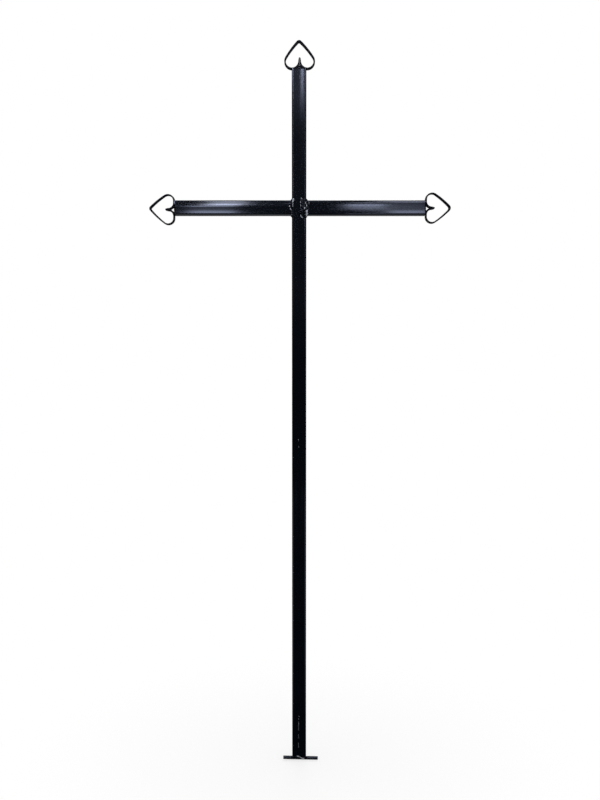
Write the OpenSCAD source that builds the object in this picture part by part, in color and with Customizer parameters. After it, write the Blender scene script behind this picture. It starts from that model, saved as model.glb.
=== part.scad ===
// Grave cross, welded from square steel tube, with open hearts of bent strip at its three ends
// and a round rod across its foot. Millimetres, +Z up, front towards -Y, arms along X.
// The origin is under the middle of the post, at the lowest point of the foot rod.

/* [Tube] */
// Outer width of the square tube
tube_w = 40; // [30:1:60]
// Wall of the square tube
tube_wall = 2; // [1.5:0.5:3]
// Outer radius of the tube's long edges
tube_edge_r = 4; // [3.5:0.5:8]

/* [Cross] */
// Length of the upright tube
post_len = 1938; // [1200:1:2300]
// Height of the arms' centre line over the post's lower end
arm_height = 1567; // [900:1:1800]
// Length of the left arm's tube
left_arm_len = 321; // [150:1:450]
// Length of the right arm's tube
right_arm_len = 326; // [150:1:450]
// Thickness of the plates that close the tubes
cap_t = 3; // [2:0.5:6]

/* [Hearts] */
// Overall width of each heart, across its two lobes
heart_w = 84; // [72:1:120]
// Depth of the strip, from front to back
strip_d = 18; // [10:1:30]
// Thickness of the strip round the lobes
lobe_t = 4; // [3:0.5:6]
// Thickness of the strip at the point of the heart
point_t = 5; // [3:0.5:6]
// Radius of the long arc along each flank of a heart
flank_r = 250; // [150:10:600]
// Length of the top heart, from cap to point
top_heart_len = 77; // [70:1:110]
// Outer radius of the top heart's lobes
top_lobe_r = 21.5; // [16:0.5:24]
// Outer radius of the top heart's point
top_point_r = 8.5; // [7:0.5:16]
// Height of the cusp inside the top heart
top_cusp_len = 31; // [26:1:38]
// How far the top heart's point leans to the right
top_lean = -1.5; // [-4:0.5:4]
// How far the top heart is set off to the right
top_heart_shift = 1.5; // [-6:0.5:6]
// Length of the left heart
left_heart_len = 70; // [64:1:100]
// Length of the right heart
right_heart_len = 70; // [64:1:100]
// Outer radius of the side hearts' lobes
side_lobe_r = 18.5; // [16:0.5:22]
// Outer radius of the left heart's point
left_point_r = 8; // [7:0.5:16]
// Outer radius of the right heart's point
right_point_r = 11; // [7:0.5:16]
// How far the left heart's point leans upwards
left_lean = 2.5; // [-4:0.5:4]
// How far the right heart's point leans upwards
right_lean = 0; // [-4:0.5:4]
// Height of the cusp inside the side hearts
side_cusp_len = 26; // [22:1:34]
// How far the left heart is set off upwards
left_heart_shift = -4; // [-6:0.5:6]
// How far the right heart is set off upwards
right_heart_shift = 0; // [-6:0.5:6]
// Half the width of the cusp where the strip's ends come together
cusp_half_w = 3.8; // [3:0.2:6]
// Half the width of the cusp's tip
tip_half_w = 2.6; // [1.5:0.1:3]
// Radius at which the strip turns up into the cusp, seen from the cap
throat_r = 15; // [12:0.5:16]
// Height of the small gap between the cusp and the cap
throat_h = 11; // [4:0.5:11.5]

/* [Foot rod] */
// Diameter of the rod
rod_d = 10.5; // [8:0.5:16]
// Length of the rod
rod_len = 100; // [60:1:200]
// How far the rod's middle is set off to the right
rod_shift = 4; // [-10:1:10]
// How far the rod lies in front of the post's middle
rod_forward = 12; // [0:1:13]
// Fall of the rod to the right, in degrees
rod_tilt = 1.3; // [0:0.1:2]

/* [Welds] */
// How far the weld beads stand proud
weld_h = 2.5; // [1:0.5:4]
// Width of a bead on the arm, from the post's side
weld_on_arm = 7; // [4:1:12]
// Width of a bead on the post's front and back
weld_on_post = 7; // [4:1:12]
// Reach of the right-hand weld's pad over the post's front, from its side
pad_reach = 18; // [10:1:22]
// Height of the right-hand weld's pad
pad_h = 60; // [44:1:70]
// Radius of the bead along the foot
foot_bead_r = 3.5; // [2:0.5:4]

/* [Hidden] */
$fn = 96;

half_w = tube_w / 2;
// Height of the rod's middle over the lowest point of its low end
rod_z = rod_d / 2 * cos(rod_tilt) + rod_len / 2 * sin(rod_tilt);
// The post stands on the rod's top at its left wall, where the rod is highest
post_z = rod_z + (half_w + rod_shift) * tan(rod_tilt) + rod_d / 2 / cos(rod_tilt);
post_top = post_z + post_len;
arm_z = post_z + arm_height;
left_end = -half_w - left_arm_len;
right_end = half_w + right_arm_len;
// Least width of the flat between a lobe's two arcs
least_w = 0.02;
// Corner radius of the weld pad
pad_r = 6;
// How far the foot bead runs past the post on each side
foot_bead_over = 3.5;
// How far it stands out in front of the post, and its middle lies under the post's lower end
foot_bead_out = 1;

// Square with round corners, centred
module round_square(w, r) {
  square([w, w - 2 * r], center = true);
  square([w - 2 * r, w], center = true);
  for (x = [-1, 1], y = [-1, 1])
    translate([x * (w / 2 - r), y * (w / 2 - r)]) circle(r);
}

// Square tube along +Z from the origin
module tube(len) {
  linear_extrude(len) difference() {
    round_square(tube_w, tube_edge_r);
    round_square(tube_w - 2 * tube_wall, tube_edge_r - tube_wall);
  }
}

// Solid bar of the tube's outer section, along +Z
module tube_core(len) {
  linear_extrude(len) round_square(tube_w, tube_edge_r);
}

// Turns +Z to +X, at the height of the arms, from the given place on X
module along_arm(x) {
  translate([x, 0, arm_z]) rotate([0, 90, 0]) children();
}

module post() {
  color("#0d1218") translate([0, 0, post_z]) tube(post_len);
}

module left_arm() {
  color("#0d1218") along_arm(left_end) tube(left_arm_len);
}

module right_arm() {
  color("#0d1218") along_arm(half_w) tube(right_arm_len);
}

module post_cap() {
  color("#11151b") translate([0, 0, post_top]) tube_core(cap_t);
}

module left_arm_cap() {
  color("#11151b") along_arm(left_end - cap_t) tube_core(cap_t);
}

module right_arm_cap() {
  color("#11151b") along_arm(right_end) tube_core(cap_t);
}

// Centre of the circle that holds both of two others and touches each from outside: their
// centres p and q, and how far it lies from each
function arc_centre(p, q, from_p, from_q) =
  let (d = norm(q - p), e = (q - p) / d, along = (from_p ^ 2 - from_q ^ 2 + d ^ 2) / (2 * d))
  p + along * e + sqrt(from_p ^ 2 - along ^ 2) * [-e.y, e.x];

// Upper part of a heart, on one side of its middle: between the lobe and the heart's point, up to
// the long arc of radius r_flank that touches both
module flank(lobe, point, r_lobe, r_point, r_flank) {
  centre = arc_centre(lobe, point, r_flank - r_lobe, r_flank - r_point);
  lobe_way = (lobe - centre) / norm(lobe - centre);
  point_way = (point - centre) / norm(point - centre);
  over = heart_w / 4;
  intersection() {
    translate(centre) circle(r_flank);
    polygon([
      [0, lobe.y], lobe, lobe + (r_lobe + over) * lobe_way,
      point + (r_point + over) * point_way, point
    ]);
  }
}

// Both halves of a heart's closed outline, without what the strip does between the lobes. Its
// point is set off sideways by lean
module heart_blank(a, r, c, lean, r_lobe, r_point, r_flank) {
  for (s = [0, 1]) mirror([s, 0]) {
    translate([a, r]) circle(r_lobe);
    flank([a, r], [s == 0 ? lean : -lean, c], r_lobe, r_point, r_flank);
  }
  translate([lean, c]) circle(r_point);
}

// The strip's two ends, pressed together and drawn to a blunt tip
module cusp(r, len) {
  tip_y = len - tip_half_w;
  polygon([[-cusp_half_w, r], [cusp_half_w, r], [tip_half_w, tip_y], [-tip_half_w, tip_y]]);
  translate([0, tip_y]) circle(tip_half_w);
}

// Face of a heart: width along X, the cap's face on the X axis, the point towards +Y
module heart_face(len, lobe_r, point_r, lean, cusp_len) {
  a = heart_w / 2 - lobe_r;
  c = len - point_r;
  inner_r = lobe_r - lobe_t;
  // Where the lobe's hollow turns up beside the cusp
  b = cusp_half_w + inner_r;
  difference() {
    union() {
      heart_blank(a, lobe_r, c, lean, lobe_r, point_r, flank_r);
      translate([-a, 0]) square([2 * a, lobe_r]);
    }
    difference() {
      union() {
        heart_blank(a, lobe_r, c, lean, inner_r, point_r - point_t, flank_r - lobe_t);
        for (s = [0, 1]) mirror([s, 0]) {
          translate([b, lobe_r]) circle(inner_r);
          translate([min(a, b), lobe_t]) square([max(abs(a - b), least_w), inner_r]);
        }
      }
      cusp(lobe_r, cusp_len);
      translate([-cusp_half_w, 0]) square([2 * cusp_half_w, lobe_r]);
    }
    difference() {
      translate([-throat_r, 0]) square([2 * throat_r, throat_h]);
      for (s = [-1, 1]) translate([s * throat_r, throat_r]) circle(throat_r);
    }
  }
}

// A heart standing up on the X axis, its strip centred on Y
module heart(len, lobe_r, point_r, lean, cusp_len) {
  rotate([90, 0, 0])
    linear_extrude(strip_d, center = true)
      heart_face(len, lobe_r, point_r, lean, cusp_len);
}

module top_heart() {
  color("#06080b")
    translate([top_heart_shift, 0, post_top + cap_t])
      heart(top_heart_len, top_lobe_r, top_point_r, top_lean, top_cusp_len);
}

module left_heart() {
  color("#06080b")
    translate([left_end - cap_t, 0, arm_z + left_heart_shift]) rotate([0, -90, 0])
      heart(left_heart_len, side_lobe_r, left_point_r, left_lean, side_cusp_len);
}

module right_heart() {
  color("#06080b")
    translate([right_end + cap_t, 0, arm_z + right_heart_shift]) rotate([0, 90, 0])
      heart(right_heart_len, side_lobe_r, right_point_r, -right_lean, side_cusp_len);
}

// Straight bar along X through the foot, falling to the right
module rod_at_foot(len, d) {
  translate([rod_shift, -rod_forward, rod_z]) rotate([0, 90 + rod_tilt, 0])
    cylinder(h = len, d = d, center = true);
}

module foot_rod() {
  color("#0c0e12") rod_at_foot(rod_len, rod_d);
}

// Collar of weld metal round the joint of an arm that leaves the post towards +X
module weld_collar() {
  difference() {
    along_arm(half_w - weld_on_post) linear_extrude(weld_on_post + weld_on_arm)
      round_square(tube_w + 2 * weld_h, tube_edge_r + weld_h);
    along_arm(half_w) tube_core(2 * weld_on_arm);
    translate([0, 0, arm_z - tube_w]) tube_core(2 * tube_w);
  }
}

module left_arm_weld() {
  color("#1a1e26") mirror([1, 0, 0]) weld_collar();
}

// Lumpy pad that spreads from the right joint over the post's front
module weld_pad() {
  pad_w = pad_reach - tube_edge_r;
  translate([half_w - pad_reach, -half_w, arm_z]) rotate([90, 0, 0]) linear_extrude(weld_h) {
    translate([pad_r, -pad_h / 2]) square([pad_w - 2 * pad_r, pad_h]);
    translate([0, pad_r - pad_h / 2]) square([pad_w, pad_h - 2 * pad_r]);
    for (x = [pad_r, pad_w - pad_r], y = [-1, 1])
      translate([x, y * (pad_h / 2 - pad_r)]) circle(pad_r);
  }
}

module right_arm_weld() {
  color("#1a1e26") union() {
    weld_collar();
    weld_pad();
  }
}

// Bead along the front wall's lower edge, where it meets the rod
module foot_weld() {
  bead_len = tube_w + 2 * foot_bead_over;
  color("#1a1e26") difference() {
    translate([-bead_len / 2, foot_bead_r - foot_bead_out - half_w, post_z - foot_bead_out])
      rotate([0, 90, 0]) cylinder(h = bead_len, r = foot_bead_r);
    rod_at_foot(2 * rod_len, rod_d);
    translate([0, 0, post_z]) tube_core(tube_w);
  }
}

post();
left_arm();
right_arm();
post_cap();
left_arm_cap();
right_arm_cap();
top_heart();
left_heart();
right_heart();
foot_rod();
left_arm_weld();
right_arm_weld();
foot_weld();
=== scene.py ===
"""Looks of a grave cross welded from square steel tube, with hearts bent from flat strip.

Lengths in the classes are in millimetres, and metres() turns them into scene units. The studio's
are in metres. The places of all pieces come from the CAD frame.
"""

import logging
import math
from dataclasses import dataclass, field
from enum import Enum

import bmesh
import bpy
from bpy.types import Material, Mesh, Node, NodeSocket, NodeTree, Object
from mathutils import Matrix, Vector, noise


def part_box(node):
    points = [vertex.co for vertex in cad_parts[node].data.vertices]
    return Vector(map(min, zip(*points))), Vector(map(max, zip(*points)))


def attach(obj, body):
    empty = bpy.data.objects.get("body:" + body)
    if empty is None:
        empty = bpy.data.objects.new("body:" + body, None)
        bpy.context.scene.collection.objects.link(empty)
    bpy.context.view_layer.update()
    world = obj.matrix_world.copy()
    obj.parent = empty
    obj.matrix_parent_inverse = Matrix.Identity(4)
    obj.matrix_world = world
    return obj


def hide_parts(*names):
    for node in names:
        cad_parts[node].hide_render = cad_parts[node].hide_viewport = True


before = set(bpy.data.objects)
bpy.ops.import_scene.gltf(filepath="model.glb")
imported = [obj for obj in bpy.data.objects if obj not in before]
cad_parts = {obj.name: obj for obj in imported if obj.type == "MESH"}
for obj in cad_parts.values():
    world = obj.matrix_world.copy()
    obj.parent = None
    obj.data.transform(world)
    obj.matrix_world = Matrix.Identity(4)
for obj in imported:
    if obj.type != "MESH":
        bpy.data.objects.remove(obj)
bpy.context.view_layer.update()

LOG = logging.getLogger("grave_cross")
BODY = "root"
Point = tuple[float, float]
Triple = tuple[float, float, float]


def metres(millimetres: float) -> float:
    """Turns a length in millimetres into metres."""
    return millimetres / 1000.0


def srgb(code: str, alpha: float = 1.0) -> tuple[float, float, float, float]:
    """Turns an sRGB hex colour into linear light.

    Args:
        code: Six hex digits, with or without a leading #.
        alpha: The fourth number of the result.

    Returns:
        Linear red, green and blue, and alpha.
    """
    code = code.lstrip("#")
    parts = [int(code[i : i + 2], 16) / 255 for i in (0, 2, 4)]
    red, green, blue = (p / 12.92 if p <= 0.04045 else ((p + 0.055) / 1.055) ** 2.4 for p in parts)
    return red, green, blue, alpha


def blend(a: float, b: float, t: float) -> float:
    """Mixes a and b, giving a where t is 0 and b where t is 1."""
    return a + (b - a) * t


def smooth(t: float) -> float:
    """Eases t from 0 to 1, held at its ends."""
    t = max(0.0, min(1.0, t))
    return t * t * (3 - 2 * t)


# Nodes


def socket_key(name: str) -> str:
    """Gives the key that add_node() and Row.lay() take for a socket of this name."""
    return name.lower().replace(" ", "_")


def add_node(
    tree: NodeTree, kind: str, settings: dict[str, object] | None = None, **inputs: object
) -> Node:
    """Adds a node to a tree, with its settings, values and links.

    Args:
        tree: Shader, world or geometry tree.
        kind: The node's type, such as "ShaderNodeTexNoise".
        settings: The node's own properties.
        **inputs: A value or an output socket for each input. The key is the one that socket_key()
            gives, or "in_" and the socket's number.

    Returns:
        The new node.
    """
    node = tree.nodes.new(kind)
    for name, value in (settings or {}).items():
        setattr(node, name, value)
    for key, value in inputs.items():
        if key.startswith("in_"):
            socket = node.inputs[int(key[3:])]
        else:
            socket = next(s for s in node.inputs if s.enabled and socket_key(s.name) == key)
        if isinstance(value, NodeSocket):
            tree.links.new(value, socket)
        else:
            socket.default_value = value
    return node


def new_material(name: str) -> tuple[Material, NodeTree]:
    """Makes a material with no nodes.

    Args:
        name: Its name.

    Returns:
        The material and its node tree.
    """
    made = bpy.data.materials.new(name)
    made.use_nodes = True
    made.node_tree.nodes.clear()
    return made, made.node_tree


def speckle(
    tree: NodeTree, place: NodeSocket, size_mm: float, detail: float, rough: float
) -> NodeSocket:
    """Adds noise of a real size.

    Args:
        tree: Shader tree.
        place: Where on the object.
        size_mm: Size of its patches.
        detail: How many finer layers it has.
        rough: How strong the finer layers are.

    Returns:
        The noise, about 0.2 to 0.8.
    """
    scale = 1 / metres(size_mm)
    kind = "ShaderNodeTexNoise"
    node = add_node(tree, kind, vector=place, scale=scale, detail=detail, roughness=rough)
    return node.outputs["Fac"]


def ramp(
    tree: NodeTree,
    value: NodeSocket,
    source: Point,
    target: Point,
    interpolation: str = "LINEAR",
) -> NodeSocket:
    """Maps a value from one range to another.

    Args:
        tree: Shader or world tree.
        value: What is mapped.
        source: Its least and greatest value.
        target: What these two become.
        interpolation: "LINEAR" or "SMOOTHSTEP".

    Returns:
        The mapped value.
    """
    return add_node(
        tree,
        "ShaderNodeMapRange",
        {"interpolation_type": interpolation},
        value=value,
        from_min=source[0],
        from_max=source[1],
        to_min=target[0],
        to_max=target[1],
    ).outputs["Result"]


def two_tone(tree: NodeTree, share: NodeSocket, first: str, second: str) -> NodeSocket:
    """Mixes two sRGB hex colours by the share of the second one."""
    kind, settings = "ShaderNodeMix", {"data_type": "RGBA"}
    node = add_node(tree, kind, settings, factor=share, in_6=srgb(first), in_7=srgb(second))
    return node.outputs[2]


def operate(tree: NodeTree, operation: str, a: NodeSocket, b: NodeSocket) -> NodeSocket:
    """Joins two numbers by one operation of the math node."""
    return add_node(tree, "ShaderNodeMath", {"operation": operation}, in_0=a, in_1=b).outputs[0]


# Finishes


class Gloss(Enum):
    """How the black paint was put on: what its film does to a reflection."""

    SPRAYED = "sprayed"
    BRUSHED = "brushed"
    POOLED = "pooled"


@dataclass(frozen=True)
class BlackEnamel:
    """Black alkyd enamel on steel.

    Sprayed enamel on smooth tube gives sharp, faintly blue reflections that wander a little with
    the orange peel. Brushed enamel on forged strip is duller and streaky. Over welds it pools in
    a smooth skin.
    """

    name: str
    deep: str
    light: str
    roughness: float
    roughness_spread: float
    specular: float
    peel_mm: float
    peel_height_mm: float
    way: Gloss
    cloud_mm: float = 90.0
    nib_mm: float = 3.0
    tint: str = "#dbe3ff"

    def material(self) -> Material:
        """Builds the enamel as a material."""
        made, tree = new_material(self.name)
        place = add_node(tree, "ShaderNodeTexCoord").outputs["Object"]
        # Clouds of thicker and thinner paint, a hand's breadth across
        cloud = speckle(tree, place, self.cloud_mm, 3.0, 0.55)
        # Fine dust and nibs in the film, which dull it in specks
        nibs = speckle(tree, place, self.nib_mm, 4.0, 0.7)
        dullest = self.roughness + self.roughness_spread
        # Orange peel of a sprayed film, or the strokes that a brush leaves along the strip
        stretch = (1.0, 1.0, 0.35) if self.way is Gloss.SPRAYED else (1.0, 0.3, 1.0)
        spread = add_node(tree, "ShaderNodeMapping", vector=place, scale=stretch)
        bump = add_node(
            tree,
            "ShaderNodeBump",
            height=speckle(tree, spread.outputs["Vector"], self.peel_mm, 2.0, 0.5),
            strength=1.0,
            distance=metres(self.peel_height_mm),
        )
        shader = add_node(
            tree,
            "ShaderNodeBsdfPrincipled",
            base_color=two_tone(tree, cloud, self.deep, self.light),
            roughness=ramp(tree, nibs, (0.35, 0.8), (self.roughness, dullest)),
            specular_ior_level=self.specular,
            # The enamel's blue cast shows in what it reflects
            specular_tint=srgb(self.tint),
            normal=bump.outputs["Normal"],
        )
        add_node(tree, "ShaderNodeOutputMaterial", surface=shader.outputs["BSDF"])
        return made


@dataclass(frozen=True)
class PaleHighlightPaint:
    """Pale grey matt paint for painted highlights on weld crests, weld lumps and paint runs.

    It scatters light, so each painted highlight stays grey where the gloss round it turns black.
    """

    name: str
    dark: str
    pale: str
    fleck_mm: float = 2.5
    roughness: float = 0.4
    specular: float = 0.5

    def material(self) -> Material:
        """Builds the pale highlight paint as a material."""
        made, tree = new_material(self.name)
        place = add_node(tree, "ShaderNodeTexCoord").outputs["Object"]
        flecks = speckle(tree, place, self.fleck_mm, 2.0, 0.6)
        share = ramp(tree, flecks, (0.35, 0.65), (0.0, 1.0))
        shader = add_node(
            tree,
            "ShaderNodeBsdfPrincipled",
            base_color=two_tone(tree, share, self.dark, self.pale),
            roughness=self.roughness,
            specular_ior_level=self.specular,
        )
        add_node(tree, "ShaderNodeOutputMaterial", surface=shader.outputs["BSDF"])
        return made


@dataclass
class Paints:
    """The coats on the cross, each made once."""

    tube: Material = field(
        default_factory=BlackEnamel(
            name="sprayed_black_enamel_on_tube",
            deep="#020407",
            light="#05080e",
            roughness=0.075,
            roughness_spread=0.03,
            specular=0.5,
            peel_mm=7.0,
            peel_height_mm=0.004,
            way=Gloss.SPRAYED,
        ).material
    )
    heart: Material = field(
        default_factory=BlackEnamel(
            name="brushed_black_enamel_on_strip",
            deep="#010102",
            light="#030304",
            roughness=0.45,
            roughness_spread=0.15,
            specular=0.12,
            peel_mm=2.5,
            peel_height_mm=0.03,
            way=Gloss.BRUSHED,
        ).material
    )
    weld: Material = field(
        default_factory=BlackEnamel(
            name="pooled_black_enamel_on_welds",
            deep="#020304",
            light="#07090d",
            roughness=0.08,
            roughness_spread=0.06,
            specular=0.2,
            peel_mm=1.5,
            peel_height_mm=0.006,
            way=Gloss.POOLED,
        ).material
    )
    bar: Material = field(
        default_factory=BlackEnamel(
            name="thin_black_enamel_on_hot_rolled_bar",
            deep="#08090b",
            light="#1d1f23",
            roughness=0.35,
            roughness_spread=0.15,
            specular=0.5,
            peel_mm=2.0,
            peel_height_mm=0.03,
            way=Gloss.BRUSHED,
        ).material
    )
    # Pale paints: painted highlights on the paint runs, the foot weld's crest and the arm welds'
    # lumps
    drip: Material = field(
        default_factory=PaleHighlightPaint("rubbed_black_enamel_on_drips", "#15171b", "#565a62").material
    )
    ridge: Material = field(
        default_factory=PaleHighlightPaint("rubbed_black_enamel_on_ridges", "#4a4d52", "#b4b8be").material
    )
    scuff: Material = field(
        default_factory=PaleHighlightPaint(
            "scuffed_black_enamel_on_weld_lumps", "#5a5e66", "#b6bac4"
        ).material
    )


# Meshes


def piece_from(name: str, points: list[Vector], faces: list[list[int]]) -> Object:
    """Makes an object from points and faces, with its faces turned outwards.

    Args:
        name: The piece's name.
        points: Its corners, in metres, in the row frame.
        faces: Corner numbers of each face.

    Returns:
        The object, linked to the scene.
    """
    mesh = bpy.data.meshes.new(name)
    mesh.from_pydata([tuple(p) for p in points], [], faces)
    work = bmesh.new()
    work.from_mesh(mesh)
    bmesh.ops.recalc_face_normals(work, faces=work.faces)
    work.to_mesh(mesh)
    work.free()
    made = bpy.data.objects.new(name, mesh)
    bpy.context.scene.collection.objects.link(made)
    return made


def band(rings: int, per: int) -> list[list[int]]:
    """Gives the quads between closed rings that follow each other, each of per points."""
    return [
        [i * per + j, i * per + k, (i + 1) * per + k, (i + 1) * per + j]
        for i in range(rings - 1)
        for j, k in zip(range(per), [*range(1, per), 0])
    ]


def closed_band(rings: int, per: int) -> list[list[int]]:
    """Gives the quads of band() and a face over each end."""
    last = (rings - 1) * per
    return [*band(rings, per), list(range(per))[::-1], [last + j for j in range(per)]]


def shade_round(piece: Object, sharp_deg: float) -> None:
    """Shades a piece smooth, except over edges sharper than an angle.

    Args:
        piece: The object.
        sharp_deg: Least angle between two faces that stays an edge.
    """
    mesh = piece.data
    mesh.shade_smooth()
    mesh.set_sharp_from_angle(angle=math.radians(sharp_deg))


def dress(piece: Object, paint: Material, slot: str, *nodes: str) -> Object:
    """Gives a finished piece its paint and its place on the frame.

    Args:
        piece: The finished mesh object.
        paint: Its material.
        slot: The record's material slot. Not used.
        *nodes: The CAD nodes that it stands for.

    Returns:
        The same object.
    """
    piece.data.materials.clear()
    piece.data.materials.append(paint)
    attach(piece, BODY)
    if nodes:
        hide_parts(*nodes)
    LOG.info("%s: %d faces, for %s", piece.name, len(piece.data.polygons), nodes)
    return piece


@dataclass
class RoundSquare:
    """Outline of the square tube: round corners, faintly hollow faces, some with a soft shoulder.

    A tube rolled from strip is never quite flat, and gloss paint shows it as streaks.
    """

    width: float = 40.0
    corner_r: float = 4.0
    hollow: float = 0.25
    hollow_power: float = 2.0
    edge_power: float = 2.0
    upper_hollow: float = 1.0
    shoulder: float = 0.0
    shoulder_drop: float = 0.0
    face_steps: int = 32
    corner_steps: int = 6

    def drop(self, across: float) -> float:
        """Gives how far a face lies under the tube's full width.

        Args:
            across: Place on the face, from its middle.

        Returns:
            The drop in millimetres, never under 0.
        """
        half = self.width / 2 - self.corner_r
        dish = (1 - abs(across / half) ** self.hollow_power) ** self.edge_power
        share = self.upper_hollow if across > 0 else 1.0
        sag = self.hollow * blend(1.0, dish, share)
        start = half - self.shoulder
        if self.shoulder and across > start:
            sag += self.shoulder_drop * ((across - start) / self.shoulder) ** 2
        return max(0.0, sag)

    def outline(self) -> list[Point]:
        """Gives the outline's points, going round from the middle of a corner.

        Returns:
            The points, from the tube's middle line.
        """
        half = self.width / 2
        flat = half - self.corner_r
        near, far = self.drop(flat), self.drop(-flat)
        side: list[Point] = []
        for i in range(self.face_steps + 1):
            v = blend(-flat, flat, i / self.face_steps)
            side.append((half - self.drop(v), v))
        for i in range(1, self.corner_steps):
            turn = math.radians(90 * i / self.corner_steps)
            # The corner runs from this face's dropped edge to the next face's
            x = flat + (self.corner_r - near) * math.cos(turn)
            side.append((x, flat + (self.corner_r - far) * math.sin(turn)))
        quarters = (1, 0), (0, 1), (-1, 0), (0, -1)
        return [(x * c - y * s, x * s + y * c) for c, s in quarters for x, y in side]


@dataclass
class Tube:
    """A length of square tube, open at both ends, along +Z or along X."""

    node: str
    along_x: bool
    wall: float = 2.0
    station: float = 24.0
    ripple: float = 0.05
    ripple_patch: float = 18.0
    ripples_per_metre: float = 9.0
    seed: float = 0.0
    section: RoundSquare = field(default_factory=RoundSquare)

    def place(self, middle: Vector, across: float, deep: float, along: float) -> Vector:
        """Turns a place on the tube into the row frame.

        Args:
            middle: The middle of the tube's box.
            across: Sideways place seen from the front, in metres from the tube's middle line.
            deep: Place along +Y, in metres.
            along: Place along the tube, in metres in the row frame.

        Returns:
            The point.
        """
        if self.along_x:
            return Vector((along, deep, middle.z + across))
        return Vector((middle.x + across, deep, along))

    def build(self, paints: Paints) -> Object:
        """Builds and paints the tube.

        Args:
            paints: The coats.

        Returns:
            The finished piece.
        """
        lo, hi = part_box(self.node)
        middle = (lo + hi) / 2
        start, end = (lo.x, hi.x) if self.along_x else (lo.z, hi.z)
        outer = self.section.outline()
        half = self.section.width / 2
        inner_scale = (self.section.width - 2 * self.wall) / self.section.width
        steps = max(2, round((end - start) / metres(self.station)))
        points: list[Vector] = []
        for scale in (1.0, inner_scale):
            for i in range(steps + 1):
                along = blend(start, end, i / steps)
                turn = along * self.ripples_per_metre + self.seed * 7
                for x, y in outer:
                    # Rolling leaves the walls a few hundredths out of true along their length
                    spot = Vector((x / self.ripple_patch, y / self.ripple_patch, turn))
                    wave = noise.noise(spot)
                    inward = 1 - self.ripple * (0.5 + 0.5 * wave) / half
                    k = scale * inward
                    points.append(self.place(middle, metres(x * k), metres(y * k), along))
        rings, count = steps + 1, len(outer)
        inside = rings * count
        shell = band(rings, count)
        faces = shell + [[inside + corner for corner in quad[::-1]] for quad in shell]
        for i in (0, steps):
            for j in range(count):
                a, b = i * count + j, i * count + (j + 1) % count
                quad = [a, b, inside + b, inside + a]
                faces.append(quad[::-1] if i == 0 else quad)
        piece = piece_from(f"{self.node}_tube", points, faces)
        shade_round(piece, 40)
        return dress(piece, paints.tube, "tube_paint", self.node)


@dataclass
class CapPlate:
    """Thin plate that closes a tube's end, with a rounded edge and a fine groove at its seam."""

    node: str
    along_x: bool
    edge: float = 0.8
    seam: float = 0.35
    section: RoundSquare = field(default_factory=RoundSquare)

    def build(self, paints: Paints) -> Object:
        """Builds and paints the plate.

        Args:
            paints: The coats.

        Returns:
            The finished piece.
        """
        lo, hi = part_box(self.node)
        if self.along_x:
            near, far = (hi.x, lo.x) if hi.x < 0 else (lo.x, hi.x)
        else:
            near, far = lo.z, hi.z
        thick = abs(far - near) * 1000
        way = 1.0 if far > near else -1.0
        half = self.section.width / 2
        # Height over the tube and distance in from the outline, up to the plate's outer face
        levels = [
            (0.0, self.seam),
            (self.seam, 0.0),
            (thick - self.edge, 0.0),
            (thick - self.edge * 0.3, self.edge * 0.3),
            (thick, self.edge),
        ]
        ring = self.section.outline()
        points: list[Vector] = []
        for height, inset in levels:
            along = near + way * metres(height)
            k = (half - inset) / half
            for x, y in ring:
                across, deep = metres(x * k), metres(y * k)
                if self.along_x:
                    points.append(Vector((along, deep, (lo.z + hi.z) / 2 + across)))
                else:
                    points.append(Vector(((lo.x + hi.x) / 2 + across, deep, along)))
        piece = piece_from(f"{self.node}_plate", points, closed_band(len(levels), len(ring)))
        shade_round(piece, 35)
        return dress(piece, paints.tube, "tube_paint", self.node)


class Facing(Enum):
    """The way a heart's point looks, as a turn from straight up, in quarter turns."""

    UP = 0
    LEFT = 1
    RIGHT = -1


def arc(centre: Point, radius: float, start_deg: float, end_deg: float, count: int) -> list[Point]:
    """Gives a number of points along an arc, from one angle to another."""
    turns = [math.radians(blend(start_deg, end_deg, i / (count - 1))) for i in range(count)]
    return [(centre[0] + radius * math.cos(t), centre[1] + radius * math.sin(t)) for t in turns]


def line(start: Point, end: Point, count: int) -> list[Point]:
    """Gives a number of points along a straight line, with both its ends."""
    shares = [i / (count - 1) for i in range(count)]
    return [(blend(start[0], end[0], t), blend(start[1], end[1], t)) for t in shares]


def arc_centre(p: Point, q: Point, from_p: float, from_q: float) -> Point:
    """Finds the centre of an arc from its distances to two other points.

    Args:
        p: One point.
        q: The other point.
        from_p: Distance of the centre from p.
        from_q: Distance of the centre from q.

    Returns:
        The centre that lies to the left of the way from p to q.
    """
    dx, dy = q[0] - p[0], q[1] - p[1]
    d = math.hypot(dx, dy)
    ex, ey = dx / d, dy / d
    along = (from_p**2 - from_q**2 + d**2) / (2 * d)
    off = math.sqrt(from_p**2 - along**2)
    return p[0] + along * ex - off * ey, p[1] + along * ey + off * ex


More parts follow.
